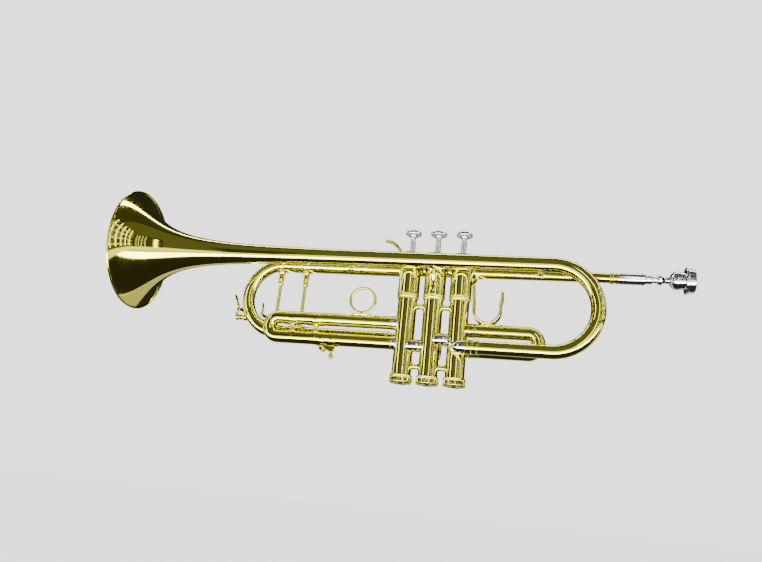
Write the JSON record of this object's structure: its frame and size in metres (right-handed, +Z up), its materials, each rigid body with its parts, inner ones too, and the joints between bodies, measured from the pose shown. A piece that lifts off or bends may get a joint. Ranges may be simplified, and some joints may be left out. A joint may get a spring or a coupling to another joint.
{
  "type": "trumpet",
  "caption": "Piston-valve brass trumpet with flared bell, sprung valves, sliding tuning tubes, hinged water keys, finger ring, thumb saddle and a removable mouthpiece.",
  "frame": {"origin": "on the middle valve's axis, on the flat face of its bottom cap", "axes": "+X forwards to the bell's mouth, +Y to the player's left, +Z up along the valves towards the finger buttons"},
  "size_m": [0.5547, 0.1356, 0.1788],
  "materials": {
    "lacquered_brass": "polished and clear-lacquered",
    "silver_plate": "polished silver or nickel plate",
    "valve_steel": "satin nickel alloy",
    "cork": "cork"
  },
  "bodies": {
    "trumpet_body": {"bell": "lacquered_brass", "bell_bow": "lacquered_brass", "bell_tail_knuckle": "lacquered_brass", "leadpipe": "lacquered_brass", "mouthpiece_receiver": "silver_plate", "tuning_sleeve_upper": "lacquered_brass", "tuning_sleeve_lower": "lacquered_brass", "tuning_knuckle": "lacquered_brass", "tuning_sleeve_brace": "lacquered_brass", "valve_casing_1": "lacquered_brass", "valve_casing_2": "lacquered_brass", "valve_casing_3": "lacquered_brass", "top_cap_1": "silver_plate", "top_cap_2": "silver_plate", "top_cap_3": "silver_plate", "bottom_cap_1": "lacquered_brass", "bottom_cap_2": "lacquered_brass", "bottom_cap_3": "lacquered_brass", "crossover_1_2": "silver_plate", "crossover_2_3": "silver_plate", "third_inner_tube_upper": "silver_plate", "third_inner_tube_lower": "silver_plate", "first_inner_tube_upper": "silver_plate", "first_inner_tube_lower": "silver_plate", "second_sleeve_upper": "lacquered_brass", "second_sleeve_lower": "lacquered_brass", "bell_brace_front": "lacquered_brass", "bell_brace_rear": "lacquered_brass", "casing_to_bell_brace": "lacquered_brass", "finger_hook": "lacquered_brass", "valve_spring_1": "valve_steel", "valve_spring_2": "valve_steel", "valve_spring_3": "valve_steel"},
    "valve_1": {"piston_1": "valve_steel", "valve_stem_1": "silver_plate", "finger_button_1": "silver_plate"},
    "valve_2": {"piston_2": "valve_steel", "valve_stem_2": "silver_plate", "finger_button_2": "silver_plate"},
    "valve_3": {"piston_3": "valve_steel", "valve_stem_3": "silver_plate", "finger_button_3": "silver_plate"},
    "main_tuning_slide": {"tuning_slide": "lacquered_brass", "tuning_slide_brace": "lacquered_brass", "tuning_key_seat": "lacquered_brass"},
    "main_water_key": {"tuning_key_lever": "lacquered_brass", "tuning_key_cork": "cork"},
    "third_slide": {"third_slide_tube": "lacquered_brass", "third_slide_post_front": "lacquered_brass", "third_slide_post_rear": "lacquered_brass", "finger_ring": "lacquered_brass", "third_key_seat": "lacquered_brass", "lyre_socket": "lacquered_brass", "lyre_screw": "lacquered_brass"},
    "third_water_key": {"third_key_lever": "lacquered_brass", "third_key_cork": "cork"},
    "first_slide": {"first_slide_tube": "lacquered_brass", "thumb_saddle": "lacquered_brass"},
    "second_slide": {"second_slide_tube": "lacquered_brass"},
    "mouthpiece_body": {"mouthpiece": "silver_plate"}
  },
  "joints": [
    {"name": "valve_1_press", "type": "slide", "parent": "trumpet_body", "child": "valve_1", "axis": [0, 0, -1], "range_m": [0, 0.0165], "stiffness_N_per_m": 150, "springref_m": -0.02, "deforming": ["valve_spring_1"]},
    {"name": "valve_2_press", "type": "slide", "parent": "trumpet_body", "child": "valve_2", "axis": [0, 0, -1], "range_m": [0, 0.0165], "stiffness_N_per_m": 150, "springref_m": -0.02, "deforming": ["valve_spring_2"]},
    {"name": "valve_3_press", "type": "slide", "parent": "trumpet_body", "child": "valve_3", "axis": [0, 0, -1], "range_m": [0, 0.0165], "stiffness_N_per_m": 150, "springref_m": -0.02, "deforming": ["valve_spring_3"]},
    {"name": "main_tuning_slide_pull", "type": "slide", "parent": "trumpet_body", "child": "main_tuning_slide", "axis": [1, 0, 0], "range_m": [0, 0.05]},
    {"name": "main_water_key_hinge", "type": "hinge", "parent": "main_tuning_slide", "child": "main_water_key", "pos_m": [0.20568, -0.0175, 0.06725], "axis": [0, -1, 0], "range_deg": [0, 20], "stiffness_Nm_per_rad": 0.02, "springref_deg": -42.97},
    {"name": "third_slide_pull", "type": "slide", "parent": "trumpet_body", "child": "third_slide", "axis": [1, 0, 0], "range_m": [0, 0.035]},
    {"name": "third_water_key_hinge", "type": "hinge", "parent": "third_slide", "child": "third_water_key", "pos_m": [0.17342, 0, 0.05958], "axis": [0, -1, 0], "range_deg": [0, 20], "stiffness_Nm_per_rad": 0.01, "springref_deg": -42.97},
    {"name": "first_slide_pull", "type": "slide", "parent": "trumpet_body", "child": "first_slide", "axis": [-1, 0, 0], "range_m": [0, 0.025]},
    {"name": "second_slide_pull", "type": "slide", "parent": "trumpet_body", "child": "second_slide", "axis": [0, -1, 0], "range_m": [0, 0.01]},
    {"name": "mouthpiece_pull", "type": "slide", "parent": "trumpet_body", "child": "mouthpiece_body", "axis": [-1, 0, 0], "range_m": [0, 0.026]}
  ]
}
